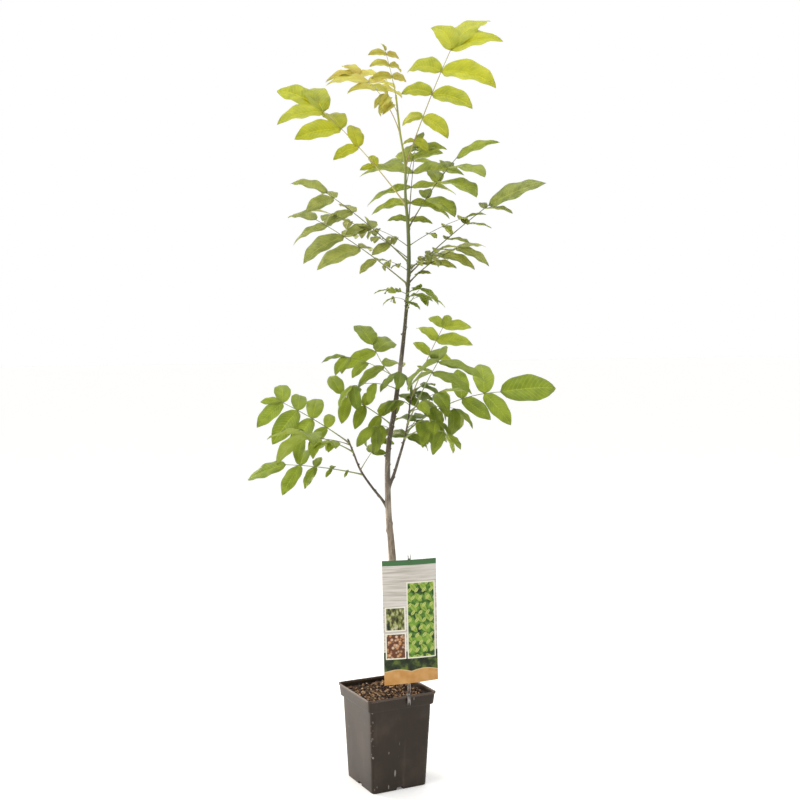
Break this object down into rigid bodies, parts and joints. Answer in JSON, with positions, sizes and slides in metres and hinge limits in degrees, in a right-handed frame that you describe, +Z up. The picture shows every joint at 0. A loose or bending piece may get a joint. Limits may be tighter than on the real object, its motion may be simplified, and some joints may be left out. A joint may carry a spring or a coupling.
{
  "type": "young potted walnut tree",
  "caption": "Slim young walnut in a square nursery pot: a leaning stem with two low boughs, pinnate leaves round it, a root ball and a printed card on a clip-on stick",
  "frame": {"origin": "middle of the pot's flat underside, on the surface that it stands on", "axes": "+Z up along the tree; the pot's sides lie along X and Y; -Y is the side of the pot that carries the card"},
  "size_m": [0.6323, 0.4906, 1.633],
  "materials": {
    "pot_plastic": "satin",
    "compost": "rough",
    "bark": "rough",
    "young_bark": "rough",
    "foliage": "satin",
    "stick_plastic": "matte",
    "printed_card": "satin"
  },
  "bodies": {
    "root": {"pot": "pot_plastic", "root_ball": "compost", "stem": "bark", "bough_left": "young_bark", "bough_right": "young_bark", "leaf_tip_upright": "foliage", "leaf_tip_left": "foliage", "leaf_tip_right": "foliage", "leaf_top_right": "foliage", "leaf_top_left": "foliage", "leaf_back_high": "foliage", "leaf_back_right": "foliage", "leaf_far_right": "foliage", "leaf_low_right": "foliage", "leaf_far_left": "foliage", "leaf_low_left": "foliage", "leaf_front_small": "foliage", "leaf_left_fan": "foliage", "leaf_left_low": "foliage", "leaf_left_front": "foliage", "leaf_left_sprig": "foliage", "leaf_inner_low": "foliage", "leaf_inner_high": "foliage", "leaf_right_young": "foliage", "leaf_right_front": "foliage", "leaf_right_long": "foliage", "leaf_right_hanging": "foliage", "leaf_back_low": "foliage", "leaf_right_back": "foliage", "label_stick": "stick_plastic", "label_card": "printed_card"}
  },
  "joints": []
}
